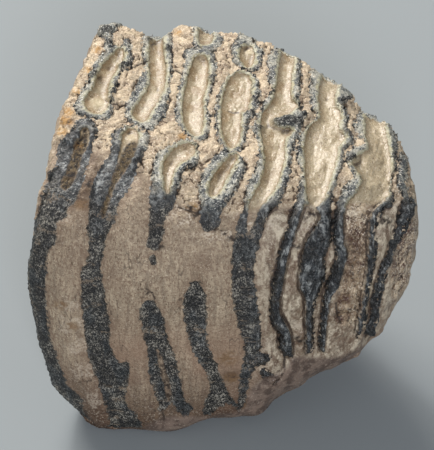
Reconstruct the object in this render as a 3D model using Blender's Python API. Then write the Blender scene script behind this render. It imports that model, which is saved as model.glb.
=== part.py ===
"""A fragment of a fossil mammoth molar: one solid, standing on its root side with the chewing face up.

X runs along the row of enamel plates, from the broken end to the natural end.
Y runs across the tooth, from the cheek side to the tongue side.
Z is up, and z = 0 is the flat that the fragment rests on. Everything is in metres.
The outside is a loft. Each section is a rounded outline in the plane across the row, and each is
then leaned and bowed along X as the plates are, because the plates fan out from the root.
"""

import math

import bmesh
import bpy
import numpy as np

MM = 0.001

# Driving dimensions, in millimetres.
CROWN_HEIGHT = 82.0
PLATE_PLACES = (-37.5, -25.0, -9.5, 6.0, 18.0, 28.5, 39.5, 51.0)  # along the cheek edge of the top
RIDGE_HEIGHT = 0.9  # how far the enamel round a plate stands out of the chewing face
HOLLOW_DEPTH = 1.5  # how far the worn dentine inside a plate sinks below it
BAND_DEPTH = 0.4  # how far a plate's edge is sunk in the side walls
BREAK_DISH = 2.5  # how far the broken end is hollowed
END_DOME = 4.0  # how far the natural end stands out past its last section
BOW_LOW = 0.8  # 1 puts a plate's widest bow halfway up, and less puts it nearer the root
FAN = 0.0015  # how much closer the plates are on the tongue side, for each millimetre across
STONE_COLOUR = (0.42, 0.34, 0.26, 1.0)

# The sections through a plate, in millimetres from its middle, and what each one meets: the relief
# on the chewing face and on the side walls there. Another section lies midway between two plates.
PLATE_SECTIONS = (
    (-4.7, 0.0, 0.0),
    (-3.5, RIDGE_HEIGHT, -BAND_DEPTH),
    (-2.4, 0.2, -BAND_DEPTH),
    (-0.6, -HOLLOW_DEPTH, -BAND_DEPTH),
    (1.2, -HOLLOW_DEPTH, -BAND_DEPTH),
    (2.6, 0.2, -BAND_DEPTH),
    (3.5, RIDGE_HEIGHT, -BAND_DEPTH),
    (4.7, 0.0, 0.0),
)
POINTS_AROUND = 56
BREAK_RINGS = 4  # rings between the edge of the broken end and its middle
DOME_RINGS = 4  # rings between the edge of the natural end and its tip

# The outside at stations along the row, in millimetres: the cheek edge of the chewing face, the
# same plate at the root, how far its middle bows, cheek wall, tongue wall, chewing face, root side.
STATIONS = (
    (-42.5, -34.0, -8.0, -41.0, 46.0, 81.5, -1.0),
    (-30.0, -22.5, -6.5, -44.0, 47.0, 82.5, -2.0),
    (-12.0, -6.0, -5.5, -44.0, 47.0, 82.5, -3.0),
    (3.0, 8.5, -5.0, -41.5, 46.0, 82.0, -1.5),
    (17.0, 16.5, -2.5, -38.5, 42.5, 81.5, 2.5),
    (28.0, 25.0, -2.0, -35.0, 37.5, 80.0, 7.0),
    (38.0, 32.0, -1.0, -30.0, 30.5, 78.5, 12.0),
    (48.0, 40.5, 0.0, -24.0, 21.5, 76.0, 16.5),
    (54.5, 46.5, 1.5, -17.0, 14.0, 73.0, 21.0),
    (57.5, 50.0, 2.5, -11.0, 7.0, 69.0, 27.0),
)
# How square the outline is in each quarter: 2 is an ellipse, and more is squarer.
SQUARE_CHEEK_TOP = 3.6
SQUARE_TONGUE_TOP = 6.0
SQUARE_CHEEK_ROOT = 7.0
SQUARE_TONGUE_ROOT = 3.0


def station_at(place):
    """The stations' values at a place along the list, on a smooth curve through them."""
    table = np.array(STATIONS)
    last = len(table) - 1
    start = min(int(place), last - 1)
    a, b, c, d = (table[min(max(start + k, 0), last)] for k in (-1, 0, 1, 2))
    u = place - start
    return b + 0.5 * u * (c - a + u * (2 * a - 5 * b + 4 * c - d + u * (3 * (b - c) + d - a)))


def place_of(along):
    """The place in the list of stations of a distance along the chewing face."""
    return float(np.interp(along, [station[0] for station in STATIONS], range(len(STATIONS))))


def squareness(angle):
    """The outline's power at an angle round it: 0 is the tongue wall and 90 degrees the top."""
    top = math.sin(angle) >= 0
    tongue = math.cos(angle) >= 0
    if top:
        return SQUARE_TONGUE_TOP if tongue else SQUARE_CHEEK_TOP
    return SQUARE_TONGUE_ROOT if tongue else SQUARE_CHEEK_ROOT


def rounded(value, power):
    return math.copysign(abs(value) ** (2 / power), value)


def leaned(along, root, bow, y, z):
    """X of a point of a plate, in millimetres."""
    up = min(max(z / CROWN_HEIGHT, 0.0), 1.0)
    x = root + (along - root) * up + bow * 4 * up**BOW_LOW * (1 - up**BOW_LOW)
    return x * (1 - FAN * (y - STATIONS[0][3]))


def ring(along, top_relief=0.0, wall_relief=0.0, shrink=1.0, push=0.0):
    """One closed section: its points, in millimetres. shrink pulls it in round its middle."""
    along, root, bow, cheek, tongue, top, base = station_at(place_of(along))
    middle_y, middle_z = (cheek + tongue) / 2, (top + base) / 2
    half_y, half_z = shrink * (tongue - cheek) / 2, shrink * (top - base) / 2
    points = []
    for step in range(POINTS_AROUND):
        angle = 2 * math.pi * (step + 0.5) / POINTS_AROUND
        power = squareness(angle)
        across, up = rounded(math.cos(angle), power), rounded(math.sin(angle), power)
        on_top = max(up, 0.0) ** 8
        y = middle_y + across * (half_y + wall_relief * (1 - on_top))
        z = max(middle_z + up * half_z + on_top * top_relief, 0.0)
        points.append((leaned(along, root, bow, y, z) + push, y, z))
    return points


def plate_rings():
    """The sections through every plate, and one midway between each two."""
    rings = []
    for index, plate in enumerate(PLATE_PLACES):
        if index:
            rings.append(ring((PLATE_PLACES[index - 1] + plate) / 2))
        rings += [ring(plate + offset, top, wall) for offset, top, wall in PLATE_SECTIONS]
    return rings


def tooth_rings():
    """Every section from the middle of the broken end to the tip of the natural end."""
    first, last = STATIONS[0][0], STATIONS[-1][0]
    rings = []
    for step in range(1, BREAK_RINGS + 1):
        out = step / (BREAK_RINGS + 1)
        rings.append(ring(first, shrink=out, push=BREAK_DISH * (1 - out**2)))
    rings += [ring(first), *plate_rings(), ring(last)]
    for step in range(1, DOME_RINGS + 1):
        turn = math.pi / 2 * step / (DOME_RINGS + 1)
        rings.append(ring(last, shrink=math.cos(turn), push=END_DOME * math.sin(turn)))
    return rings


def add_skin(mesh, rings):
    """Joins the rings with quads, and closes each end."""
    loops = [[mesh.verts.new([v * MM for v in point]) for point in points] for points in rings]
    for near, far in zip(loops, loops[1:]):
        for k in range(POINTS_AROUND):
            after = (k + 1) % POINTS_AROUND
            mesh.faces.new((near[k], near[after], far[after], far[k]))
    for loop in (loops[0], loops[-1]):
        centre = np.mean([v.co for v in loop], axis=0)
        hub = mesh.verts.new(centre)
        for k in range(POINTS_AROUND):
            mesh.faces.new((loop[k], loop[(k + 1) % POINTS_AROUND], hub))


def stone_material():
    material = bpy.data.materials.new("mineralised tooth")
    material.use_nodes = True
    shader = material.node_tree.nodes["Principled BSDF"]
    shader.inputs["Base Color"].default_value = STONE_COLOUR
    shader.inputs["Roughness"].default_value = 0.6
    return material


def build_tooth():
    mesh = bmesh.new()
    add_skin(mesh, tooth_rings())
    bmesh.ops.recalc_face_normals(mesh, faces=mesh.faces)
    low = np.min([v.co for v in mesh.verts], axis=0)
    high = np.max([v.co for v in mesh.verts], axis=0)
    centre = (low + high) / 2
    bmesh.ops.translate(mesh, verts=mesh.verts, vec=(-centre[0], -centre[1], -low[2]))
    data = bpy.data.meshes.new("tooth_fragment")
    mesh.to_mesh(data)
    mesh.free()
    tooth = bpy.data.objects.new("tooth_fragment", data)
    tooth.data.materials.append(stone_material())
    tooth.data.shade_smooth()
    bpy.context.scene.collection.objects.link(tooth)
    return tooth


def main():
    for old in list(bpy.data.objects):
        bpy.data.objects.remove(old)
    build_tooth()


main()
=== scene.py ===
import math
from functools import partial

import bpy
import numpy as np
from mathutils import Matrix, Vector, noise
from mathutils.bvhtree import BVHTree


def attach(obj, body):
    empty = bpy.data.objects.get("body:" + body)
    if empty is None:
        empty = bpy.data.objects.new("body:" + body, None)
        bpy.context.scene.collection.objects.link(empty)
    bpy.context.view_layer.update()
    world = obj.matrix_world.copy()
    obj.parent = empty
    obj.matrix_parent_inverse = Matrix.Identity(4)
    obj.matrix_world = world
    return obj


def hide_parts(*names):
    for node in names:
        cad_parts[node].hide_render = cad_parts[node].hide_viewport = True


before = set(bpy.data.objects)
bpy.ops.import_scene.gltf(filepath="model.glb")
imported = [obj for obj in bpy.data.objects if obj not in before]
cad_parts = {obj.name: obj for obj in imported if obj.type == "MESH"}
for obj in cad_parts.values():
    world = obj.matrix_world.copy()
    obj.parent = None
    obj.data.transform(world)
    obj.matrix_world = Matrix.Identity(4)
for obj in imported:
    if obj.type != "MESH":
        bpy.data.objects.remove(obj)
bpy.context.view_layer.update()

mm = 0.001

# The camera looks down on the chewing face from the cheek side, a little round to the natural end.
eye = {
    "azimuth": 10.0,  # degrees round from the -Y side towards +X
    "elevation": 40.0,  # degrees above the horizon
    "distance": 750.0,  # mm
    "aim": (-6.5, 1.9, 42.2),  # mm, the point in the middle of the frame
    "lens": 210.0,  # mm
    "sensor": 36.0,  # mm, the frame's height
    "frame": (434, 450),  # pixels, width and height
}

# One pixel of the frame is this much of the surface, in mm: across, and down it where it leans away.
pixelAcross, pixelDown = 0.29, 0.42

# The edges of the enamel, as closed outlines in the camera's frame, in pixels. Each plate of the
# tooth shows as worn loops on the chewing face and as a dark band down the cheek wall.
enamelOutlines = {
    "firstTip": [
        (97, 33), (98, 15), (114, 15), (118, 29), (112, 35), (113, 46), (108, 52), (103, 46), (105, 38),
    ],
    "firstBack": [
        (111, 45), (99, 57), (91, 68), (88, 80), (79, 95), (75, 112), (86, 116), (98, 119), (108, 119),
        (112, 112), (112, 98), (117, 86), (121, 71), (130, 68), (132, 55), (130, 42), (125, 38), (122, 47),
    ],
    "firstFront": [
        (77, 121), (88, 118), (95, 125), (96, 133), (91, 151), (85, 172), (79, 190), (75, 202), (66, 209),
        (66, 217), (57, 223), (55, 243), (49, 250), (46, 266), (45, 296), (47, 315), (48, 328), (53, 348),
        (63, 374), (69, 387), (82, 399), (83, 410), (91, 422), (80, 430), (50, 405), (25, 350), (15, 290),
        (20, 240), (35, 200), (47, 180), (57, 165), (59, 148), (66, 133), (76, 126),
    ],
    "secondBack": [
        (144, 30), (155, 33), (165, 30), (171, 32), (172, 58), (170, 88), (166, 112), (160, 122),
        (149, 131), (138, 126), (127, 118), (126, 104), (134, 90), (140, 76), (146, 69), (143, 60),
    ],
    "secondFront": [
        (115, 130), (129, 126), (141, 131), (150, 137), (144, 152), (138, 167), (131, 184), (118, 203),
        (116, 216), (105, 240), (103, 256), (100, 268), (103, 288), (108, 315), (110, 333), (108, 341),
        (117, 361), (129, 364), (127, 388), (124, 399), (133, 412), (141, 427), (109, 432), (110, 420),
        (100, 385), (88, 350), (84, 318), (82, 290), (82, 270), (89, 258), (88, 230), (91, 195), (99, 170),
        (109, 158), (112, 145),
    ],
    "thirdBack": [(193, 14), (200, 22), (209, 20), (217, 32), (223, 40), (215, 50), (203, 49), (194, 43)],
    "thirdMiddle": [
        (184, 51), (190, 48), (208, 47), (215, 56), (216, 70), (213, 86), (207, 106), (210, 122),
        (207, 137), (198, 140), (187, 134), (176, 118), (177, 98), (181, 80), (185, 64),
    ],
    "thirdFront": [
        (175, 142), (190, 139), (198, 147), (196, 166), (184, 169), (178, 190), (172, 208), (165, 218),
        (163, 235), (158, 247), (153, 250), (147, 243), (150, 232), (150, 205), (152, 172), (156, 156),
        (166, 147),
    ],
    "thirdIsland": [(150, 257), (154, 255), (157, 259), (156, 264), (152, 265), (150, 262)],
    "thirdLow": [
        (143, 302), (154, 302), (163, 318), (167, 337), (174, 354), (179, 376), (184, 398), (192, 408),
        (184, 417), (172, 403), (161, 411), (156, 391), (150, 377), (149, 357), (142, 325), (140, 310),
    ],
    "fourthBack": [
        (232, 46), (237, 38), (243, 30), (250, 34), (258, 46), (264, 50), (260, 66), (256, 71), (243, 68),
        (233, 61),
    ],
    "fourthMiddle": [
        (236, 70), (250, 71), (259, 82), (260, 98), (254, 115), (248, 122), (246, 139), (239, 151),
        (225, 150), (217, 133), (216, 110), (220, 88),
    ],
    "fourthFront": [
        (226, 150), (214, 156), (204, 172), (199, 188), (201, 202), (201, 225), (208, 231), (218, 226),
        (221, 212), (232, 196), (240, 181), (245, 167), (240, 154),
    ],
    "fourthLow": [
        (196, 281), (203, 289), (206, 303), (207, 340), (215, 362), (228, 393), (240, 408), (225, 404),
        (208, 415), (203, 410), (210, 390), (207, 373), (195, 356), (186, 325), (184, 308), (187, 291),
    ],
    "fifth": [
        (272, 50), (297, 48), (301, 76), (300, 105), (307, 113), (298, 135), (292, 152), (290, 172),
        (285, 188), (279, 203), (269, 212), (262, 232), (254, 262), (254, 282), (259, 320), (261, 345),
        (259, 352), (269, 357), (267, 363), (254, 368), (250, 378), (247, 392), (242, 409), (237, 411),
        (239, 392), (241, 374), (244, 360), (245, 345), (238, 325), (232, 285), (233, 250), (238, 225),
        (245, 203), (246, 187), (255, 170), (259, 157), (258, 140), (252, 128), (260, 112), (263, 102),
        (272, 90), (268, 75),
    ],
    "fifthCrumb": [(262, 369), (269, 372), (277, 378), (276, 384), (268, 381), (261, 375)],
    "sixth": [
        (310, 86), (314, 64), (330, 70), (345, 78), (356, 90), (350, 100), (343, 104), (349, 117),
        (347, 128), (355, 140), (345, 149), (343, 163), (337, 180), (332, 200), (331, 240), (325, 256),
        (325, 275), (318, 297), (314, 306), (313, 335), (311, 352), (290, 358), (281, 350), (280, 335),
        (272, 322), (271, 300), (278, 262), (285, 237), (293, 212), (299, 187), (302, 172), (297, 157),
        (303, 131), (317, 117), (312, 108), (310, 95),
    ],
    "seventh": [
        (368, 108), (358, 114), (355, 130), (366, 142), (355, 146), (345, 157), (352, 172), (354, 177),
        (344, 187), (338, 203), (333, 232), (337, 255), (332, 272), (325, 294), (322, 318), (320, 349),
        (332, 350), (350, 342), (361, 333), (366, 322), (367, 300), (373, 270), (377, 247), (375, 230),
        (384, 208), (391, 207), (394, 198), (391, 184), (397, 160), (398, 140), (395, 130), (386, 122),
        (376, 119),
    ],
    "eighth": [
        (400, 152), (409, 160), (407, 180), (411, 200), (408, 222), (398, 239), (390, 262), (381, 290),
        (377, 318), (370, 333), (366, 332), (372, 314), (373, 298), (383, 265), (392, 240), (397, 225),
        (403, 200), (398, 185), (398, 165),
    ],
}

# Where brown matter fills the space between the two arms of a plate.
brownOutlines = {
    "firstFill": [
        (84, 129), (88, 133), (87, 145), (81, 158), (77, 172), (71, 185), (65, 190), (61, 184), (67, 170),
        (72, 155), (75, 144), (81, 137),
    ],
    "secondFill": [
        (126, 145), (137, 142), (134, 153), (126, 169), (115, 185), (109, 202), (104, 217), (101, 212),
        (107, 195), (114, 175), (120, 160),
    ],
}

# What the enamel encloses: worn hollows of dentine on the chewing face, and the fill between the
# two arms of a plate on the wall.
coreOutlines = {
    "firstBack": [
        (120, 49), (113, 57), (104, 66), (98, 78), (95, 88), (88, 96), (86, 104), (92, 111), (102, 111),
        (108, 102), (107, 90), (111, 77), (118, 66), (123, 54),
    ],
    "firstFront": brownOutlines["firstFill"],
    "secondBack": [
        (152, 30), (160, 30), (163, 57), (165, 68), (163, 88), (153, 107), (145, 119), (138, 119),
        (134, 111), (142, 100), (151, 86), (151, 62),
    ],
    "secondFront": [
        (130, 129), (137, 134), (134, 149), (126, 170), (115, 185), (110, 202), (104, 218), (101, 212),
        (108, 195), (115, 170), (121, 152), (124, 136),
    ],
    "thirdBack": [(202, 22), (208, 24), (212, 37), (206, 43), (200, 40)],
    "thirdMiddle": [
        (198, 57), (206, 59), (207, 78), (202, 102), (202, 128), (196, 135), (187, 127), (184, 110),
        (187, 88), (193, 66),
    ],
    "thirdFront": [
        (179, 147), (192, 145), (194, 152), (187, 158), (179, 162), (173, 171), (170, 180), (168, 194),
        (166, 190), (165, 176), (165, 165), (169, 156),
    ],
    "thirdLow": [(157, 350), (161, 355), (166, 370), (171, 390), (170, 402), (166, 394), (161, 374)],
    "fourthBack": [(243, 48), (251, 48), (253, 60), (248, 67), (241, 58)],
    "fourthMiddle": [
        (240, 73), (250, 81), (249, 98), (246, 109), (240, 113), (239, 138), (231, 147), (224, 134),
        (223, 105), (230, 82),
    ],
    "fourthFront": [
        (233, 156), (236, 159), (230, 170), (222, 184), (217, 193), (212, 195), (210, 190), (213, 179),
        (222, 166),
    ],
    "fifth": [
        (283, 50), (294, 50), (290, 80), (290, 98), (296, 106), (283, 112), (275, 116), (272, 122),
        (278, 129), (291, 131), (284, 140), (283, 160), (275, 185), (262, 205), (254, 222), (248, 234),
        (249, 208), (259, 188), (267, 165), (262, 130), (265, 112), (276, 97),
    ],
    "sixthTop": [
        (326, 72), (338, 76), (333, 103), (340, 114), (337, 126), (344, 137), (337, 146), (335, 160),
        (329, 180), (323, 197), (314, 207), (308, 190), (306, 155), (307, 137), (312, 126), (321, 119),
        (320, 95),
    ],
    "sixthWall": [
        (304, 207), (312, 206), (320, 215), (315, 227), (305, 243), (300, 268), (300, 288), (305, 300),
        (306, 325), (306, 345), (304, 364), (295, 364), (291, 335), (286, 323), (280, 310), (283, 288),
        (290, 252), (298, 227),
    ],
    "seventh": [
        (369, 108), (379, 112), (384, 131), (389, 160), (388, 190), (383, 201), (376, 207), (370, 216),
        (369, 235), (367, 265), (362, 303), (358, 322), (356, 334), (352, 352), (326, 360), (326, 340),
        (328, 318), (332, 300), (340, 288), (344, 275), (348, 256), (344, 240), (345, 215), (350, 202),
        (358, 193), (364, 180), (357, 168), (353, 162), (360, 155), (368, 152), (370, 146), (367, 132),
    ],
}

# Smooth root below the bands, and the glossy brown fill at the natural end.
rootOutline = [
    (150, 440), (158, 418), (200, 417), (238, 411), (250, 392), (262, 378), (283, 373), (292, 359),
    (312, 356), (335, 357), (365, 345), (380, 352), (300, 400), (270, 440),
]
glossOutlines = {
    "seventhFill": [
        (346, 205), (370, 206), (369, 235), (367, 265), (362, 303), (356, 322), (342, 326), (332, 318),
        (340, 288), (348, 256), (344, 225),
    ],
    "end": [(398, 218), (418, 205), (425, 240), (408, 285), (392, 300), (390, 275), (396, 250)],
}

# The fragment's own outline, and the line where the worn face turns over into the cheek wall.
silhouette = [
    (100, 31), (104, 26), (117, 27), (122, 31), (126, 23), (131, 28), (145, 38), (158, 42), (164, 39),
    (178, 28), (188, 25), (192, 30), (208, 30), (214, 38), (223, 33), (240, 33), (247, 40), (262, 43),
    (277, 48), (287, 58), (297, 57), (308, 67), (320, 76), (335, 84), (347, 92), (357, 101), (363, 118),
    (380, 119), (390, 128), (399, 142), (407, 160), (411, 180), (416, 197), (418, 228), (413, 255),
    (408, 280), (398, 300), (386, 323), (372, 340), (352, 358), (335, 366), (312, 375), (290, 390),
    (279, 393), (268, 410), (256, 416), (240, 415), (205, 418), (185, 427), (165, 430), (140, 429),
    (110, 428), (91, 423), (75, 411), (61, 398), (50, 385), (43, 363), (36, 338), (30, 311), (26, 280),
    (29, 248), (35, 220), (43, 195), (50, 172), (54, 148), (57, 130), (66, 108), (74, 90), (85, 68),
    (90, 52), (98, 42),
]
wearLine = [
    (30, 142), (60, 142), (100, 152), (135, 170), (165, 193), (200, 212), (235, 215), (262, 208),
    (300, 207), (330, 212), (360, 206), (400, 203), (430, 200),
]
# The line where the enamel goes from the dark of the bands to the mottled grey of the worn rims.
rimLine = [
    (30, 118), (60, 118), (90, 120), (120, 136), (140, 144), (150, 186), (175, 192), (200, 205), (235, 208),
    (262, 200), (300, 198), (330, 200), (360, 198), (400, 192), (430, 188),
]

# Thin cracks, as open lines in the camera's frame.
crackLines = {
    "fourthStub": [(216, 228), (222, 231), (229, 237), (233, 241)],
    "thirdSide": [(178, 207), (186, 210), (200, 214)],
    "rootEnd": [(285, 358), (284, 371), (280, 379), (273, 385)],
    "secondFoot": [(162, 410), (164, 418), (166, 426)],
    "firstFoot": [(85, 411), (88, 417), (92, 423)],
    "seventhFill": [(336, 303), (337, 314), (341, 324)],
    "sixthFill": [(281, 316), (287, 321), (290, 329)],
    "fifthSide": [(264, 262), (270, 266), (270, 271), (277, 271)],
    "behindSecond": [(130, 70), (138, 65), (147, 62)],
    "besideFirst": [(112, 104), (120, 106), (128, 104)],
    "besideThird": [(171, 73), (176, 71), (182, 73)],
    "fourthNotch": [(229, 111), (233, 113), (239, 112)],
    "thirdTop": [(145, 288), (149, 291), (146, 296), (141, 299)],
    "thirdTopSide": [(149, 291), (153, 294), (155, 300)],
}

# Places with a look of their own, each as pixel across, pixel down, and radius in mm.
spots = {
    "rust": [
        (182, 136, 1.5), (192, 208, 2.4), (60, 305, 2.6), (72, 326, 2.2), (178, 33, 1.6), (82, 205, 2.6),
        (97, 50, 1.8), (88, 70, 1.8), (78, 92, 1.8), (69, 112, 2.2), (65, 121, 2.6), (61, 131, 2.2),
        (228, 358, 3.6), (231, 378, 2.6), (248, 405, 3.0), (77, 146, 1.8), (265, 392, 3.0),
    ],
    "shaded": [
        (93, 159, 2.6), (90, 169, 3.6), (88, 179, 4.0), (84, 190, 3.6), (79, 202, 3.2), (67, 122, 2.6),
        (72, 176, 2.4), (231, 376, 2.6), (246, 406, 3.0), (350, 240, 3.6), (357, 250, 3.4), (352, 262, 3.0),
        (348, 278, 4.0), (344, 298, 4.0), (340, 316, 3.8),
    ],
    "brown": [
        (191, 208, 2.1), (198, 212, 1.9), (213, 229, 1.2), (224, 232, 1.2), (232, 238, 1.4),
        (386, 221, 2.2), (397, 262, 3.9), (402, 246, 4.3), (406, 229, 3.8), (299, 339, 2.0),
        (358, 232, 3.6), (350, 218, 2.6), (366, 222, 2.4), (310, 216, 2.8), (296, 246, 1.8),
        (399, 276, 2.8), (98, 196, 2.0), (90, 184, 1.6), (197, 214, 1.6), (160, 247, 1.4), (344, 300, 2.6),
        (161, 357, 2.4), (164, 370, 3.4), (168, 384, 3.4), (169, 397, 2.6), (353, 242, 3.0),
        (340, 318, 2.0), (362, 264, 1.8), (345, 262, 2.0),
    ],
    # lighter crusty places, which also get painted glints
    "dusty": [
        (71, 306, 3.6), (74, 324, 5.0), (79, 345, 5.5), (85, 370, 5.5), (93, 398, 5.0), (62, 218, 4.0),
        (166, 214, 3.5), (272, 225, 4.0), (376, 232, 3.0), (268, 345, 3.5), (297, 325, 3.0),
        (351, 213, 3.0), (359, 219, 3.0), (346, 222, 2.0),
    ],
    "crumbly": [
        (279, 121, 2.6), (289, 120, 3.6), (299, 121, 3.0), (250, 113, 1.6), (256, 98, 1.8), (258, 127, 2.0),
        (298, 98, 1.6), (303, 77, 2.0), (124, 65, 2.2), (106, 29, 2.6), (110, 42, 1.6), (212, 78, 1.6),
        (345, 100, 2.4), (349, 130, 2.2), (352, 158, 2.2), (306, 113, 2.0), (94, 73, 1.8), (112, 98, 1.6),
        (149, 40, 1.5), (169, 49, 1.5), (191, 166, 1.3), (181, 178, 1.2), (134, 160, 1.6), (128, 176, 1.4),
    ],
    "knob": [(97, 103, 2.6), (132, 138, 1.9), (92, 119, 1.3), (249, 52, 1.5), (206, 54, 1.6)],
}

# What a user would change about the tooth. Lengths are in mm unless noted.
tooth = {
    "shape": {
        "coarse": 2.4, "coarseRounds": 14,  # voxels and passes that even out the ridges of the plain solid
        "fine": 0.94, "fineRounds": 4,
        "swell": 0.45,  # makes up for what the smoothing takes
        "outlineReach": 6.0,  # further in than this is a fold and not the outline
        "finestBelow": 3.36, "finestBeside": 0.8,  # below the worn face, and beside a band
    },
    "relief": {
        "enamelRidge": 0.55, "basin": 1.1, "undulation": 0.42, "striation": 0.2, "groove": 0.75,
        "cementRise": 0.25, "cementLump": 0.85, "grain": 0.4, "fissure": 1.1, "crumb": 0.95, "knob": 0.45,
        "column": 1.1, "band": 0.45, "panel": 0.7, "grit": 0.36, "flute": 1.9, "fluteLump": 0.35,
        "fill": 0.8, "wallWave": 0.3, "rootLump": 0.6, "crack": 0.5, "rib": 0.7, "scab": 0.8,
        "beside": 0.45, "pit": 0.5,
    },
    "flutes": (6.0, 18.0),  # along X, where the cheek wall goes from smooth to fluted
    # Where each plate leaves the far edge of the chewing face, in pixels, and where it ends at the root
    # side below, along X. Between the two a band runs down the tongue wall.
    "farPlates": {
        "tips": [(112, 32), (155, 42), (203, 32), (247, 42), (284, 60), (326, 84), (370, 121)],
        "roots": [-33.0, -20.5, -8.0, 3.0, 12.5, 21.0, 29.0],
        "bow": -4.0, "halfWidth": 2.9, "top": 80.0,
    },
    "roughness": {
        "cement": 0.74, "lowest": 0.2, "highest": 0.9,
        # what each of these adds to the cement's
        "polish": -0.44, "enamel": -0.3, "crumbs": 0.45, "gloss": -0.38, "grain": 0.5, "fill": 0.2,
    },
    "grain": {  # a bump too fine for the mesh
        "depth": 0.3, "strength": 0.9, "fine": 0.4, "coarse": 0.9, "coarseShare": 1.4,
        # how much more of it, or less, each of these has than the cement
        "polish": -0.45, "root": -0.6, "enamel": 0.75, "flutes": 0.5, "worn": 0.2,
    },
    "ior": 1.55,
    "colours": {
        "topTan": "#C4B194", "topDark": "#99856E", "chalkAndGlint": "#E6D8BF", "wallGrey": "#827360",
        "wallPale": "#AE9D84", "wallBrown": "#6F5946", "wallPink": "#8C705B",
        "low": "#7B6048", "soil": "#54402E", "shade": "#8A7156",
        "fluteTan": "#D0C4AC", "fluteBrown": "#604937", "glint": "#D3C6B2", "pebble": "#B9AA80",
        "rust": "#AA8040", "stain": "#74593A", "creviceDirtAndShade": "#5E4A39", "crack": "#3A2E24",
        "root": "#55463C", "rootPale": "#7A695C", "fillDark": "#20180F", "fillPale": "#57482F",
        "brown": "#2E2217", "brownPale": "#5A4935", "reddish": "#4A2E20",
        "gloss": "#877159", "glossPale": "#C6B295",
        "dentine": "#927E60", "dentinePale": "#A3957A", "dentineDark": "#745F40", "dentineLight": "#B3A58A",
        "olive": "#BAB597", "oliveGold": "#B8AE88", "enamelGlint": "#DEDDD2",
        "enamelBlack": "#121314", "enamelDark": "#34383A", "enamelGrey": "#6C706A", "enamelPale": "#9D9A8D",
        "smoothDark": "#16191C", "smoothGrey": "#3C4144", "smoothPaleAndSheen": "#A0A3A0",
        "bandDeep": "#0B0B0B", "band": "#1E1D1B", "bandSpeck": "#9D988B",
        "bandBlue": "#222627", "bandBlueSpeck": "#7A7A75",
    },
    "tints": ("low", "shade", "creviceDirtAndShade"),  # these darken what is under them, and the others cover it
}
shape, relief, farPlates, stone = (tooth[name] for name in ("shape", "relief", "farPlates", "colours"))

# Distances to outlines and to lines are cut off here, in mm.
farOff, farFromLine = 9.0, 30.0


def viewAxes():
    turn, lift = math.radians(eye["azimuth"]), math.radians(eye["elevation"])
    ahead = np.array([-math.sin(turn) * math.cos(lift), math.cos(turn) * math.cos(lift), -math.sin(lift)])
    right = np.array([math.cos(turn), math.sin(turn), 0.0])
    return right, np.cross(right, ahead), ahead


right, upward, ahead = viewAxes()
eyePlace = np.array(eye["aim"]) - ahead * eye["distance"]  # mm
focal = eye["frame"][1] * eye["lens"] / eye["sensor"]  # pixels
pixelSize = np.array([pixelAcross, pixelDown])  # mm


def inFrame(points):  # mm to pixels
    offset = points - eyePlace
    depth = offset @ ahead
    across = eye["frame"][0] / 2 + focal * (offset @ right) / depth
    down = eye["frame"][1] / 2 - focal * (offset @ upward) / depth
    return np.stack([across, down], 1)


def rise(value, start, end):  # 0 at start, 1 at end, smooth between
    share = np.clip((value - start) / (end - start), 0, 1)
    return share * share * (3 - 2 * share)


def near(gap, width):  # 1 where the gap is 0, and almost 0 at twice the width
    return np.exp(-((gap / width) ** 2))


def wander(points, size, layers=1, offset=0.0):  # smooth noise about -1..1, with lumps of this size
    return np.array([noise.fractal(Vector(p), 0.9, 2.1, layers) for p in points / size + offset])


def cellGap(points, size, offset=0.0):  # near 0 along the borders between cells of this size in mm
    found = [noise.voronoi(Vector(p))[0] for p in points / size + offset]
    return np.array([distances[1] - distances[0] for distances in found])


def smoothLoop(points, steps=3):  # a closed curve through the points
    ring = np.array(points, float)
    before, after, later = np.roll(ring, 1, 0), np.roll(ring, -1, 0), np.roll(ring, -2, 0)
    bend = 2 * before - 5 * ring + 4 * after - later
    curl = 3 * (ring - after) + later - before
    parts = [ring + 0.5 * u * (after - before + u * (bend + u * curl)) for u in np.arange(steps) / steps]
    return np.stack(parts, 1).reshape(-1, 2)


def toLine(places, starts, ends):  # the distance from each place to the nearest of the segments
    nearest = np.full(len(places), 1e9)
    for start, end in zip(starts, ends):
        run = end - start
        share = np.clip(((places - start) @ run) / max(run @ run, 1e-12), 0, 1)
        nearest = np.minimum(nearest, np.linalg.norm(places - start - share[:, None] * run, axis=1))
    return nearest


def insideBy(pixels, outline, reach=farOff):  # mm inside the outline, and minus that outside it
    loop = smoothLoop(outline) * pixelSize
    places = pixels * pixelSize
    result = np.full(len(places), -reach)
    close = np.all((places > loop.min(0) - reach) & (places < loop.max(0) + reach), axis=1)
    found = places[close]
    starts, ends = loop, np.roll(loop, -1, 0)
    inside = np.zeros(len(found), bool)
    for (ax, ay), (bx, by) in zip(starts, ends):
        crosses = (ay > found[:, 1]) != (by > found[:, 1])
        slope = (bx - ax) / (by - ay) if by != ay else 0.0
        inside ^= crosses & (found[:, 0] < ax + (found[:, 1] - ay) * slope)
    gap = toLine(found, starts, ends)
    result[close] = np.maximum(np.where(inside, gap, -gap), -reach)
    return result


def deepest(pixels, outlines):
    return np.max([insideBy(pixels, outline) for outline in outlines.values()], axis=0)


def aboveLine(pixels, line):  # mm above a line that crosses the frame, and minus that below it
    return (np.interp(pixels[:, 0], *zip(*line)) - pixels[:, 1]) * pixelDown


def crackGap(pixels):  # mm to the nearest of the cracks
    gap = np.full(len(pixels), farOff)
    for line in crackLines.values():
        places = np.array(line, float) * pixelSize
        gap = np.minimum(gap, toLine(pixels * pixelSize, places[:-1], places[1:]))
    return gap


def spotField(pixels, name):  # 1 in the middle of each spot of that name, 0 outside it
    field = np.zeros(len(pixels))
    for across, down, radius in spots[name]:
        gap = np.linalg.norm((pixels - (across, down)) * pixelSize, axis=1)
        field = np.maximum(field, 1 - rise(gap, 0.4 * radius, 1.2 * radius))
    return field


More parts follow.
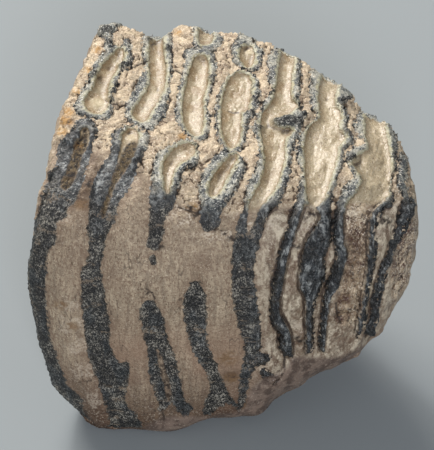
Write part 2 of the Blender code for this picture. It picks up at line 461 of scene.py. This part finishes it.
def vectors(items, name):  # one row for each vertex or face
    values = np.empty(len(items) * 3)
    items.foreach_get(name, values)
    return values.reshape(-1, 3)


def pointsOf(piece):  # its points in mm, and the normals there
    vertices = piece.data.vertices
    return vectors(vertices, "co") / mm, vectors(vertices, "normal")


def applied(piece, kind, **settings):
    modifier = piece.modifiers.new(kind.lower(), kind)
    for name, value in settings.items():
        setattr(modifier, name, value)
    bpy.ops.object.modifier_apply(modifier=modifier.name)


def edgeEnds(piece):
    ends = np.empty(len(piece.data.edges) * 2, np.int64)
    piece.data.edges.foreach_get("vertices", ends)
    return ends.reshape(-1, 2).T


def neighbourMean(piece, values, rounds, kept=None):
    # Evens a value out over the surface; where kept is true it stays as it is.
    first, second = edgeEnds(piece)
    count = len(values)
    weight = np.bincount(first, minlength=count) + np.bincount(second, minlength=count)
    start = values
    for _ in range(rounds):
        total = np.bincount(first, values[second], count) + np.bincount(second, values[first], count)
        values = total / weight
        if kept is not None:
            values = np.where(kept, start, values)
    return values


def moveOut(skin, points, normals, distance):
    moved = points + normals * distance[:, None]
    moved[:, 2] = np.maximum(moved[:, 2], 0)
    skin.data.vertices.foreach_set("co", (moved * mm).ravel())
    skin.data.update()


def fitOutline(skin):
    # Moves the surface out or in, so that it fills the fragment's outline as the camera sees it.
    points, normals = pointsOf(skin)
    gap = insideBy(inFrame(points), silhouette, farFromLine)
    facing = normals @ -ahead
    first, second = edgeEnds(skin)
    across = facing[first] * facing[second] < 0  # the edges where the surface turns away from the camera
    turning = np.zeros(len(points), bool)
    turning[first[across]] = turning[second[across]] = True
    turning &= gap < shape["outlineReach"]
    push = neighbourMean(skin, np.where(turning, gap - shape["swell"], 0.0), 50, turning)
    push = neighbourMean(skin, push, 2)
    moveOut(skin, points, normals, push)


def pickFinest(skin):
    # The chewing face and the enamel bands carry the finest relief, so they get the finest mesh.
    faces = skin.data.polygons
    normals = vectors(faces, "normal")
    pixels = inFrame(vectors(faces, "center") / mm)
    worn = aboveLine(pixels, wearLine) > -shape["finestBelow"]
    banded = deepest(pixels, enamelOutlines) > -shape["finestBeside"]
    faces.foreach_set("select", (normals @ -ahead > 0.04) & (worn | banded) | (normals[:, 2] > 0.8))


def makeSkin():
    bpy.ops.object.select_all(action="DESELECT")
    skin = bpy.data.objects.new("tooth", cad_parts["tooth_fragment"].data.copy())
    bpy.context.scene.collection.objects.link(skin)
    skin.select_set(True)
    bpy.context.view_layer.objects.active = skin
    bpy.ops.object.mode_set(mode="EDIT")
    bpy.ops.mesh.select_all(action="SELECT")
    bpy.ops.mesh.remove_doubles(threshold=0.00001)
    bpy.ops.object.mode_set(mode="OBJECT")
    applied(skin, "REMESH", mode="VOXEL", voxel_size=shape["coarse"] * mm)
    applied(skin, "SMOOTH", factor=0.5, iterations=shape["coarseRounds"])
    for _ in range(3):
        fitOutline(skin)
    applied(skin, "REMESH", mode="VOXEL", voxel_size=shape["fine"] * mm)
    applied(skin, "SMOOTH", factor=0.5, iterations=shape["fineRounds"])
    pickFinest(skin)
    bpy.ops.object.mode_set(mode="EDIT")
    bpy.ops.mesh.select_mode(type="FACE")
    bpy.ops.mesh.subdivide(number_cuts=1)
    bpy.ops.object.mode_set(mode="OBJECT")
    applied(skin, "SMOOTH", factor=0.5, iterations=2)
    return skin


def onSurface(tree, pixel):  # where the line of sight through a pixel meets the surface, in mm
    x = (pixel[0] - eye["frame"][0] / 2) / focal
    y = (eye["frame"][1] / 2 - pixel[1]) / focal
    direction = ahead + right * x + upward * y
    hit = tree.ray_cast(Vector(eyePlace * mm), Vector(direction).normalized())[0]
    if hit is None:  # just past the outline, so the nearest point of it
        hit = tree.find_nearest(Vector((eyePlace + direction * eye["distance"]) * mm))[0]
    return np.array(hit) / mm


def hiddenPlates(skin, points, normals):
    # The same plates on the sides that the camera doesn't see: mm inside the nearest band.
    tree = BVHTree.FromObject(skin, bpy.context.evaluated_depsgraph_get())
    height = np.clip(points[:, 2] / farPlates["top"], 0, 1)
    best = np.full(len(points), -farOff)
    width = farPlates["halfWidth"] + 1.6 * wander(points, 10.0, 2, 3.0)
    for index, (tip, root) in enumerate(zip(farPlates["tips"], farPlates["roots"])):
        top = onSurface(tree, tip)[0]
        middle = root + (top - root) * height + farPlates["bow"] * 4 * height * (1 - height)
        middle = middle + 1.5 * wander(points, 13.0, 2, 7.0 * index)
        pinch = 3.5 * rise(wander(points, 17.0, 1, 9.0 * index + 4.0), 0.1, 0.5)
        best = np.maximum(best, width - pinch - np.abs(points[:, 0] - middle))
    foot = 9.0 + 15.0 * rise(points[:, 0], 0.0, 30.0) + 4.0 * wander(points, 11.0, 2, 31.0)
    best = np.minimum(best, (points[:, 2] - foot) * 0.8)
    # The broken end is the face of a plate, with patches of cement left on it.
    level = np.maximum(np.hypot(normals[:, 0], normals[:, 1]), 0.35)
    broken = rise(-normals[:, 0] / level, 0.5, 0.75)
    patches = 1.6 - 4.2 * np.maximum(wander(points, 16.0, 2, 47.0), -0.4) - 7.0 * rise(points[:, 2], 42, 60)
    corner = 6.0 * rise(-points[:, 1], 32.0, 39.0) - 8.0 * rise(points[:, 2], 66, 74) - 0.5
    patches = np.maximum(patches, corner)
    return best * (1 - broken) + np.clip(patches, -farOff, 6) * broken


def surfaceFields(points, normals, lift, hidden):
    pixels = inFrame(points + normals * lift[:, None])  # where the camera sees each point once it is raised
    facing = normals @ -ahead
    seen = rise(facing, 0.0, 0.12)

    def whole(front, back):  # what the camera sees, and another value where it doesn't see
        return front * seen + back * (1 - seen)

    wear = whole(aboveLine(pixels, wearLine), (normals[:, 2] - 0.6) * 12)
    wear = np.clip(wear + 1.2 * wander(points, 5.0, 2, 23.0), -farFromLine, farFromLine)
    rim = np.where(seen > 0.5, aboveLine(pixels, rimLine), wear - 6.0)
    rim = np.clip(rim + 3.0 * wander(points, 5.0, 3, 29.0), -farFromLine, farFromLine)
    ragged = 0.3 * wander(points, 2.2, 2, 11.0)
    ragged += (0.22 + 0.3 * rise(wear, -2, 4)) * wander(points, 1.15, 2, 13.0)
    core = whole(deepest(pixels, coreOutlines), -farOff) + 0.25 * wander(points, 2.6, 2, 19.0)
    lowDown = 8.0 - 9.0 * rise(-points[:, 0], 22.0, 38.0) + 3.0 * wander(points, 13.0, 2, 37.0) - points[:, 2]
    root = whole(insideBy(pixels, rootOutline), lowDown) + 0.8 * wander(points, 5.0, 2, 5.0)
    fields = {
        "edge": whole(deepest(pixels, enamelOutlines), hidden) + ragged,
        "core": core + 0.4 * rise(wear, -1.0, 3.0),
        "wear": wear,
        "rim": rim,
        "root": rise(root, -0.8, 0.8),
        "gloss": rise(whole(deepest(pixels, glossOutlines), -farOff), -0.6, 0.8),
        "fill": rise(whole(deepest(pixels, brownOutlines), -farOff), -0.5, 0.3),
        "crack": whole(crackGap(pixels), farOff),
        "fluted": rise(points[:, 0], *tooth["flutes"]) * (0.1 + 0.9 * rise(facing, -0.05, 0.4)),
    }
    for name in spots:
        fields[name] = spotField(pixels, name) * seen
    return fields


def reliefNoises(points):
    lumps = wander(points, 3.4, 3, 61.0)
    return {
        "lumps": lumps,
        "swells": wander(points, 4.2, 2, 67.0),
        "gaps": wander(points, 3.0, 2, 71.0),
        "grit": wander(points, 0.9, 2, 83.0),
        "waves": wander(points * (1, 1, 0.35), 5.0, 2, 91.0),
        "strips": wander(points * (1, 0.22, 1), 1.0, 2, 97.0),
        "broadLumps": wander(points, 9.0, 2, 101.0),
        "ribs": wander(points * (1, 1, 0.12), 3.2, 2, 131.0),
        "pebbles": rise(cellGap(points + 0.3 * lumps[:, None], 1.15, 5.0), 0.0, 0.5) - 0.5,
        "cells": cellGap(points + 1.2 * lumps[:, None], 4.2),
    }


def topRelief(skin, fields, noises):
    # The chewing face: lumpy cement, a crumbled enamel rim and a smooth hollow inside it.
    edge, core, crumbly = fields["edge"], fields["core"], fields["crumbly"]
    lumps, grit, pebbles = noises["lumps"], noises["grit"], noises["pebbles"]
    fissures = (1 - rise(noises["cells"], 0.02, 0.12)) * rise(lumps, -0.4, 0.1)
    outside = rise(-edge, 0.0, 0.9)
    enamel = rise(edge, -0.2, 0.6) * (1 - rise(core, -0.9, 0.6))
    inside = neighbourMean(skin, rise(core, -0.3, 1.4), 4) * (1 - 0.9 * crumbly) * (1 - fields["fill"])
    rim = near(edge - 0.3, 0.55) * (1 - inside)
    gap = near(edge + 0.25 + 0.3 * grit, 0.32) * rise(noises["gaps"], 0.0, 0.4)
    top = outside * (relief["cementRise"] + relief["cementLump"] * lumps + relief["grain"] * pebbles)
    top -= relief["fissure"] * fissures * outside + relief["groove"] * gap
    top += relief["enamelRidge"] * enamel + relief["knob"] * fields["knob"]
    top += relief["crumb"] * ((rim + 0.7 * crumbly) * (pebbles + 0.6 * grit) + 1.1 * crumbly)
    uneven = relief["undulation"] * noises["swells"] + relief["striation"] * noises["strips"]
    return top - inside * (relief["basin"] + uneven)


def wallRelief(points, normals, fields, noises):
    # The walls: sunk granular bands on the smooth part, rounded ridges of enamel on the fluted part.
    edge, core, fluted = fields["edge"], fields["core"], fields["fluted"]
    lumps, grit, waves, pebbles = (noises[name] for name in ("lumps", "grit", "waves", "pebbles"))
    band = rise(edge, -0.12, 0.35) * (1 - rise(core, -0.12, 0.35))
    ridge = rise(edge, -0.4, 1.0) * (1 - rise(core, -0.55, 0.35)) * (1 + 0.4 * lumps) - 0.45
    beside = near(edge + 0.45, 0.4) + near(core - 0.35, 0.35)
    wall = -relief["band"] * band * (1 - fluted) + relief["flute"] * ridge * fluted
    wall += relief["grit"] * grit * (0.2 + 0.8 * band) + relief["wallWave"] * waves * (1 - band)
    towardsEnd = rise(points[:, 0], *tooth["flutes"])
    wall += relief["fluteLump"] * (lumps + 1.4 * waves) * towardsEnd * (1 - band)
    wall -= relief["beside"] * beside * fluted * rise(lumps, -0.5, 0.2)
    wall += relief["pit"] * fields["gloss"] * (pebbles + 0.5 * grit + 0.8 * lumps)
    wall += relief["panel"] * (rise(-edge, 0.0, 5.0) - 0.5) * (1 - fluted)
    broken = rise(-normals[:, 0], 0.6, 0.85)
    scabs = relief["scab"] * (1 - band) * (1 + 0.7 * lumps + 0.3 * pebbles)
    return wall + broken * (relief["rib"] * noises["ribs"] * band + scabs)


def reliefOf(skin, points, normals, fields, noises):  # mm out of the plain surface
    wear, root, fill = fields["wear"], fields["root"], fields["fill"]
    worn = rise(wear, -1.5, 2.5)
    turnover = rise(wear, -9.0, -1.0) * (1 - rise(wear, 5.0, 13.0))
    top = topRelief(skin, fields, noises)
    wall = wallRelief(points, normals, fields, noises)
    height = worn * top + (1 - worn) * wall * (1 - root)
    height += relief["column"] * turnover * (rise(fields["edge"], -1.0, 1.8) - 0.5)
    height -= relief["fill"] * fill * (1 + 0.5 * noises["grit"] + 0.5 * noises["waves"])
    height += root * relief["rootLump"] * noises["broadLumps"]
    return height - relief["crack"] * near(fields["crack"], 0.35)


def addField(piece, name, values):
    attribute = piece.data.attributes.new(name, "FLOAT", "POINT")
    attribute.data.foreach_set("value", values.astype(np.float32))


def linear(code):  # an sRGB hex colour as linear red, green, blue and 1
    parts = [int(code[k:k + 2], 16) / 255 for k in (1, 3, 5)]
    return [c / 12.92 if c <= 0.04045 else ((c + 0.055) / 1.055) ** 2.4 for c in parts] + [1.0]


# The kinds of node under short names: kind, inputs in order, output, and settings.
nodeKinds = {
    "place": ("TexCoord", (), "Object", {}),
    "field": ("Attribute", (), "Fac", {}),
    "axes": ("SeparateXYZ", (0,), 0, {}),
    "stretched": ("Mapping", ("Vector", "Scale"), 0, {}),
    "noise": ("TexNoise", ("Vector", "Scale", "Detail", "Roughness"), "Fac", {}),
    "plus": ("Math", (0, 1), 0, {"operation": "ADD"}),
    "minus": ("Math", (0, 1), 0, {"operation": "SUBTRACT"}),
    "times": ("Math", (0, 1), 0, {"operation": "MULTIPLY"}),
    "larger": ("Math", (0, 1), 0, {"operation": "MAXIMUM"}),
    "unsigned": ("Math", (0,), 0, {"operation": "ABSOLUTE"}),
    "rise": ("MapRange", ("Value", "From Min", "From Max"), 0, {"interpolation_type": "SMOOTHSTEP"}),
    "held": ("Clamp", ("Value", "Min", "Max"), 0, {}),
    "ramp": ("ValToRGB", (0,), 0, {}),
    "mix": ("Mix", (0, 6, 7), 2, {"data_type": "RGBA"}),
    "tint": ("Mix", (0, 6, 7), 2, {"data_type": "RGBA", "blend_type": "MULTIPLY"}),
    "bump": ("Bump", ("Height", "Distance", "Strength"), 0, {}),
}


def addNode(tree, name, *values, **more):
    # Each value goes to the next input: another node's output, a number, or a colour, either as a hex
    # code or as its name in the stone.
    kind, inputs, output, settings = nodeKinds[name]
    made = tree.nodes.new("ShaderNode" + kind)
    for setting, choice in {**settings, **more}.items():
        setattr(made, setting, choice)
    for place, value in zip(inputs, values):
        if isinstance(value, bpy.types.NodeSocket):
            tree.links.new(value, made.inputs[place])
            continue
        if isinstance(value, str):
            value = linear(stone.get(value, value))
        made.inputs[place].default_value = value
    return made.outputs[output]


def setRamp(output, stops):
    points = output.node.color_ramp.elements
    while len(points) < len(stops):
        points.new(1.0)
    for point, (place, colour) in zip(points, stops):
        point.position, point.color = place, linear(stone[colour])


def toothMaterial():
    # Mineralised mammoth tooth: matt chalky cement, charcoal enamel in granular bands, and dentine
    # polished by chewing, so it goes from dusty to glossy within a few millimetres.
    material = bpy.data.materials.new("mineralisedTooth")
    material.use_nodes = True
    tree = material.node_tree
    shader = tree.nodes["Principled BSDF"]
    add = partial(addNode, tree)
    place = add("place")

    def noiseOf(size, detail=2.0, stretch=(1, 1, 1), roughness=0.5):  # size in mm
        return add("noise", add("stretched", place, stretch), 1 / (size * mm), detail, roughness)

    def flecks(size, start, end, *details, **more):  # 0 where that noise is below start, 1 above end
        return add("rise", noiseOf(size, *details, **more), start, end)

    def changed(value, *changes):  # the value plus each share times its change
        for share, change in changes:
            value = add("plus", value, add("times", share, change))
        return value

    def shaken(value, amount, *details, **more):  # the value, moved up and down by a noise
        return changed(value, (add("plus", noiseOf(*details, **more), -0.5), amount))

    def layered(base, *layers):  # each layer is a colour and its shares, which are multiplied
        for colour, share, *shares in layers:
            for factor in shares:
                share = add("times", share, factor)
            base = add("tint" if colour in tooth["tints"] else "mix", share, base, colour)
        return base

    # the distances and places that the mesh carries
    names = ("edge", "core", "wear", "rim", "crack", "cavity", "root", "fluted", "gloss", "fill",
             "rust", "brown", "crumbly", "dusty", "shaded", "knob")
    carried = [add("field", attribute_name=name) for name in names]
    edge, core, wear, rim, crack, cavity, root, fluted = carried[:8]
    gloss, fill, rust, brown, crumbly, dusty, shaded, knob = carried[8:]
    along, _, up = add("axes", place).node.outputs
    fine, small, medium = noiseOf(0.45), noiseOf(1.2, 3), noiseOf(3.5, 3)
    jitter = add("times", add("plus", small, -0.5), 2.6)
    edgeNear, coreNear = add("plus", edge, jitter), changed(core, (jitter, 0.5))
    worn = add("rise", wear, -1.5, 2.5)
    inEnamel = add("rise", edgeNear, -0.3, -0.1)
    inCore = add("times", add("rise", coreNear, -0.3, 0.25), changed(1.0, (crumbly, -0.9)))

    # cement: tan and crusty on the chewing face, greyer and finely fibrous on the wall
    # the pale flecks on the crust are partly chalk and partly painted glints
    top = layered(
        "topDark", ("topTan", add("rise", medium, 0.3, 0.7)),
        ("chalkAndGlint", add("rise", fine, 0.48, 0.7), 0.85))
    pastBreak = add("rise", along, -38 * mm, -24 * mm)
    low = add("times", add("rise", up, 34 * mm, 4 * mm), 0.9)
    tan = layered("wallGrey", ("fluteTan", flecks(1.6, 0.42, 0.6, 4, (1, 1, 0.5), 0.65)))
    hair = add("unsigned", add("plus", noiseOf(7.0, 3, (1, 1, 0.3), 0.6), -0.5))
    hair = add("times", add("rise", hair, 0.012, 0.0), flecks(9.0, 0.48, 0.6))
    dustAndGlintsAt = add("rise", shaken(dusty, 4.0, 3.6, 4, roughness=0.7), 0.5, 1.0)
    dustAndGlints = add("times", dustAndGlintsAt, flecks(0.7, 0.4, 0.58, 4, roughness=0.7))
    browned = add("times", brown, flecks(1.3, 0.35, 0.6, 3))
    wall = layered(
        "wallGrey",
        ("wallPale", flecks(1.1, 0.3, 0.7, 4, (1, 1, 0.14), 0.65)),
        ("wallBrown", flecks(14.0, 0.45, 0.75, 3), 0.6),
        ("wallBrown", flecks(0.55, 0.48, 0.62, 3, (1, 1, 0.5), 0.75), 0.8),
        ("chalkAndGlint", flecks(0.4, 0.58, 0.72), 0.4),
        ("wallPink", flecks(24.0, 0.4, 0.55), add("rise", up, 50 * mm, 30 * mm), pastBreak, 0.6),
        ("wallBrown", flecks(0.9, 0.52, 0.66, 3, (0.25, 0.25, 1.6), 0.6), 0.35),
        ("brownPale", flecks(0.8, 0.66, 0.74, 2, (1, 1, 0.5)), 0.8),
        ("low", low),
        ("soil", low, flecks(2.4, 0.52, 0.62, 4, (1, 1, 0.6), 0.65), 0.55),
        ("glint", low, flecks(0.6, 0.54, 0.63, 3, roughness=0.7), 0.42),
        (tan, fluted, 0.85),
        ("fluteBrown", fluted, flecks(2.8, 0.52, 0.64, 4, (1, 1, 0.45), 0.65), 0.8),
        ("glint", fluted, flecks(0.5, 0.57, 0.66, 3, roughness=0.7), 0.8),
        ("fluteBrown", fluted, flecks(0.6, 0.6, 0.68, 3), 0.7),
        ("wallBrown", add("rise", edgeNear, -2.6, -0.3), flecks(2.4, 0.42, 0.6, 3), 0.55),
        ("glint", add("rise", wear, -16.0, -6.0), flecks(3.2, 0.5, 0.62), flecks(0.6, 0.46, 0.6), 0.75),
        ("brown", hair, 0.6),
        # painted glints on the lighter crust of the dusty spots
        ("glint", dustAndGlints, 0.36),
        ("brown", browned))
    streaky = flecks(2.2, 0.36, 0.52, 4, (1, 1, 0.4), 0.65)
    shade = add("times", shaded, changed(0.3, (streaky, 0.5)))
    cement = layered(wall, (top, worn), ("brown", browned), ("shade", shade))

    # enamel: mottled grey and greenish where worn, black where it crumbles, olive beside the dentine
    mottled = add("ramp", shaken(noiseOf(1.1, 4, roughness=0.7), 0.8, 5.0))
    setRamp(mottled, [(0.41, "enamelDark"), (0.49, "enamelGrey"), (0.59, "enamelPale")])
    greenish = layered("olive", ("oliveGold", flecks(2.6, 0.46, 0.6, 3)))
    clumps = add("rise", shaken(noiseOf(1.1), 0.7, 3.2, 1), 0.545, 0.59)
    crumbs = add("times", add("rise", edgeNear, 1.0, 0.1), clumps)
    crumbs = add("larger", crumbs, add("times", crumbly, flecks(0.7, 0.47, 0.55)))
    crumbs = add("larger", crumbs, add("times", flecks(1.3, 0.6, 0.65, 3), 0.8))
    sound = add("minus", 1.0, crumbs)
    enamelTop = layered(
        mottled,
        (greenish, add("rise", shaken(coreNear, 3.0, 2.0, 3), -1.3, -0.4), 0.75),
        ("enamelBlack", crumbly, 0.65),
        ("enamelBlack", crumbs),
        ("enamelGlint", flecks(0.42, 0.59, 0.67), sound),
        ("chalkAndGlint", add("rise", edgeNear, 1.3, 0.2), flecks(0.8, 0.5, 0.6, 3), sound, 0.5))

    # the bands down the wall: granular, and smoother and clouded at both ends of the fragment
    specks = add("rise", shaken(noiseOf(0.33, 3, (1, 1, 0.6), 0.75), 0.4, 3.4, 3), 0.49, 0.64)
    blue = flecks(5.0, 0.5, 0.62, 2, (1, 1, 0.5))
    firstPlate = add("rise", along, -41 * mm, -46 * mm)
    # clouds of dark, grey and pale; the pale is partly the enamel's own tone and partly painted highlight
    # along the smooth ridges
    clouds = shaken(noiseOf(1.3, 4, (1, 1, 0.45), 0.7), 0.3, 4.5, 2, (1, 1, 0.5))
    clouds = add("ramp", changed(clouds, (firstPlate, -0.06)))
    setRamp(clouds, [(0.42, "smoothDark"), (0.53, "smoothGrey"), (0.65, "smoothPaleAndSheen")])
    smooth = changed(wear, (add("rise", along, -14 * mm, -28 * mm), 15.0), (firstPlate, -7.0))
    smooth = add("larger", fluted, add("rise", smooth, -9.0, -1.0))
    enamelWall = layered(
        layered("band", ("bandBlue", blue)),
        (layered("bandSpeck", ("bandBlueSpeck", blue)), specks),
        ("bandDeep", flecks(0.9, 0.5, 0.6), 0.85),
        ("wallGrey", flecks(4.2, 0.58, 0.66, 3, (0.6, 0.6, 1.8)), flecks(0.7, 0.42, 0.56), 0.7),
        ("wallGrey", add("rise", edgeNear, 0.7, -0.1), flecks(0.6, 0.45, 0.6), 0.4),
        (clouds, smooth, 0.8),
        # darker down the sides of the fluted ridges: dark edges, and painted shade where the ridges round off
        ("bandDeep", add("rise", edgeNear, 0.9, 0.1), fluted, 0.8))
    enamel = layered(enamelWall, (enamelTop, add("rise", rim, -5.5, 4.0)))

    # dentine: polished, with browner streaks along it; painted light makes it creamier on the right-hand
    # plates and near the front of the face, and painted shade darkens the edge of each hollow
    paintedLightCream = layered("dentineLight", ("dentinePale", add("rise", small, 0.4, 0.6)))
    paintedLightAt = add("larger", add("rise", along, 0.0, 30 * mm), add("rise", wear, 16.0, 4.0))
    dentine = layered(
        "dentine",
        ("dentinePale", add("rise", medium, 0.4, 0.6)),
        # painted light: creamier on the right-hand plates and near the front of the face
        (paintedLightCream, paintedLightAt, 0.75),
        ("dentineDark", flecks(0.6, 0.5, 0.62, 3, (1, 0.6, 1), 0.7), 0.38),
        # pale flecks here are painted glints on the polished dentine
        ("chalkAndGlint", flecks(0.5, 0.58, 0.68, 2, (1, 0.6, 1)), 0.55),
        # painted shade along the edge of each hollow
        ("dentineDark", add("rise", coreNear, 1.3, 0.1), 0.4),
        ("brownPale", flecks(0.55, 0.65, 0.7, 2, (1, 0.6, 1)), 0.7),
        ("brownPale", hair, 0.6),
        ("pebble", knob, 0.35))

    # the brown fill between the arms of a plate, and the glossy one at the natural end
    brownFill = layered(
        "fillDark",
        ("fillPale", flecks(1.1, 0.43, 0.55, 4, (1, 1, 0.3), 0.65)),
        ("glint", flecks(0.5, 0.58, 0.66, 3, roughness=0.7), 0.3),
        ("shade", shade))
    sparse = changed(1.0, (shaded, -0.7))
    glossy = layered(
        "gloss",
        ("glossPale", flecks(2.6, 0.42, 0.64, 4, (1, 1, 0.3), 0.65)),
        ("brown", flecks(1.0, 0.55, 0.64, 3, (1, 1, 0.5)), 0.75),
        ("shade", shade),
        ("reddish", brown, add("rise", small, 0.38, 0.55)),
        ("glint", flecks(0.55, 0.55, 0.64, 3, roughness=0.7), sparse),
        # finer painted glints on the glossy fill
        ("chalkAndGlint", flecks(0.42, 0.6, 0.66), sparse),
        # pale crust with painted glints in the dusty spots
        ("chalkAndGlint", dustAndGlints))
    rootColour = layered(
        "root",
        ("rootPale", flecks(3.0, 0.4, 0.6, 4, roughness=0.6)),
        ("glint", flecks(0.6, 0.58, 0.7), 0.25))

    # all of them, each in its own place
    offEnamel = add("larger", add("minus", 1.0, inEnamel), inCore)
    colour = layered(
        cement,
        (enamel, inEnamel),
        (layered(wall, (dentine, worn)), inCore),
        (brownFill, fill),
        (layered("stain", ("rust", worn)), rust, flecks(1.6, 0.34, 0.54, 3), offEnamel, 0.8),
        (glossy, gloss, offEnamel),
        (rootColour, root),
        # darker in the hollows of the relief: partly dirt in the crevices, partly painted shade
        ("creviceDirtAndShade", add("rise", cavity, -0.16, -0.5), 0.85),
        ("crack", add("rise", crack, 0.5, 0.15), 0.85))
    tree.links.new(colour, shader.inputs["Base Color"])

    rough, bumps = tooth["roughness"], tooth["grain"]
    dull = changed(fill, (knob, 0.4))
    polish = add("times", add("times", inCore, worn), add("minus", 1.0, dull))
    enamelled = add("times", inEnamel, add("minus", 1.0, inCore))
    flutedWall = add("times", fluted, add("minus", 1.0, worn))
    roughness = changed(
        rough["cement"], (polish, rough["polish"]),
        (enamelled, changed(rough["enamel"], (crumbs, rough["crumbs"]))),
        (add("larger", gloss, flutedWall), rough["gloss"]),
        (add("plus", fine, -0.5), rough["grain"]), (fill, rough["fill"]))
    tree.links.new(add("held", roughness, rough["lowest"], rough["highest"]), shader.inputs["Roughness"])
    shader.inputs["IOR"].default_value = tooth["ior"]

    grain = changed(noiseOf(bumps["fine"]), (noiseOf(bumps["coarse"], 3), bumps["coarseShare"]))
    strength = changed(
        1.0, (polish, bumps["polish"]), (root, bumps["root"]), (enamelled, bumps["enamel"]),
        (flutedWall, bumps["flutes"]), (worn, bumps["worn"]))
    bump = add("bump", add("times", grain, strength), bumps["depth"] * mm, bumps["strength"])
    tree.links.new(bump, shader.inputs["Normal"])
    print("material", len(tree.nodes), "nodes")
    return material


def makeTooth():
    skin = makeSkin()
    print("surface", len(skin.data.vertices), "vertices")
    points, normals = pointsOf(skin)
    hidden = hiddenPlates(skin, points, normals)
    noises = reliefNoises(points)
    lift = np.zeros(len(points))
    for _ in range(2):  # the relief shifts what the camera sees, and the second pass allows for that
        fields = surfaceFields(points, normals, lift, hidden)
        height = reliefOf(skin, points, normals, fields, noises)
        lift = neighbourMean(skin, height + shape["swell"], 5)
    fields["cavity"] = height - neighbourMean(skin, height, 8)
    moveOut(skin, points, normals, height + shape["swell"])
    print("relief", round(height.min(), 2), "to", round(height.max(), 2), "mm")
    for name, values in fields.items():
        addField(skin, name, values)
    skin.data.materials.clear()
    skin.data.materials.append(toothMaterial())
    skin.data.shade_smooth()
    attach(skin, "root")
    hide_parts("tooth_fragment")
    print("tooth", len(skin.data.loop_triangles), "triangles")


floorLook = {
    "side": 6.0, "mottles": 3.0,  # metres, and mottles to the metre
    "dark": "#7E8487", "light": "#838A8C", "roughness": 0.85,
}


def makeFloor():
    # Painted board: plain, matt and very faintly mottled.
    bpy.ops.object.select_all(action="DESELECT")
    bpy.ops.mesh.primitive_plane_add(size=floorLook["side"], location=(0, 0, 0))
    floor = bpy.context.active_object
    floor.name = "floor"
    material = bpy.data.materials.new("paintedBoard")
    material.use_nodes = True
    tree = material.node_tree
    shader = tree.nodes["Principled BSDF"]
    mottle = addNode(tree, "noise", addNode(tree, "place"), floorLook["mottles"])
    tint = addNode(tree, "mix", mottle, floorLook["dark"], floorLook["light"])
    tree.links.new(tint, shader.inputs["Base Color"])
    shader.inputs["Roughness"].default_value = floorLook["roughness"]
    floor.data.materials.append(material)
    print("floor")


lights = {  # mm from the aim, watts, and the side of the square in mm
    "key": {"from": (-860, 1150, 1150), "power": 52.0, "size": 1100, "colour": "#FFF9F2"},
    "spark": {"from": (-760, 1200, 1150), "power": 9.8, "size": 240, "colour": "#FFFFFF"},
    "fill": {"from": (420, -1650, 900), "power": 25.0, "size": 480, "colour": "#F8F8FF"},
}
surroundings = {"colour": "#DADDE0", "strength": 0.46}


def makeLights():
    aim = Vector(eye["aim"]) * mm
    for name, light in lights.items():
        data = bpy.data.lights.new(name, "AREA")
        data.energy, data.size = light["power"], light["size"] * mm
        data.color = linear(light["colour"])[:3]
        lamp = bpy.data.objects.new(name, data)
        lamp.location = aim + Vector(light["from"]) * mm
        lamp.rotation_euler = (aim - lamp.location).to_track_quat("-Z", "Y").to_euler()
        bpy.context.scene.collection.objects.link(lamp)
    world = bpy.data.worlds.new("studio")
    world.use_nodes = True
    background = world.node_tree.nodes["Background"]
    background.inputs["Color"].default_value = linear(surroundings["colour"])
    background.inputs["Strength"].default_value = surroundings["strength"]
    bpy.context.scene.world = world
    bpy.context.scene.view_settings.view_transform = "Standard"
    print("lights", ", ".join(lights))


def makeCamera():
    data = bpy.data.cameras.new("camera")
    data.sensor_fit, data.sensor_height, data.lens = "VERTICAL", eye["sensor"], eye["lens"]
    camera = bpy.data.objects.new("camera", data)
    camera.location = Vector(eyePlace) * mm
    camera.rotation_euler = Vector(ahead).to_track_quat("-Z", "Y").to_euler()
    bpy.context.scene.collection.objects.link(camera)
    bpy.context.scene.camera = camera
    print("camera")


makeCamera()
makeFloor()
makeLights()
makeTooth()
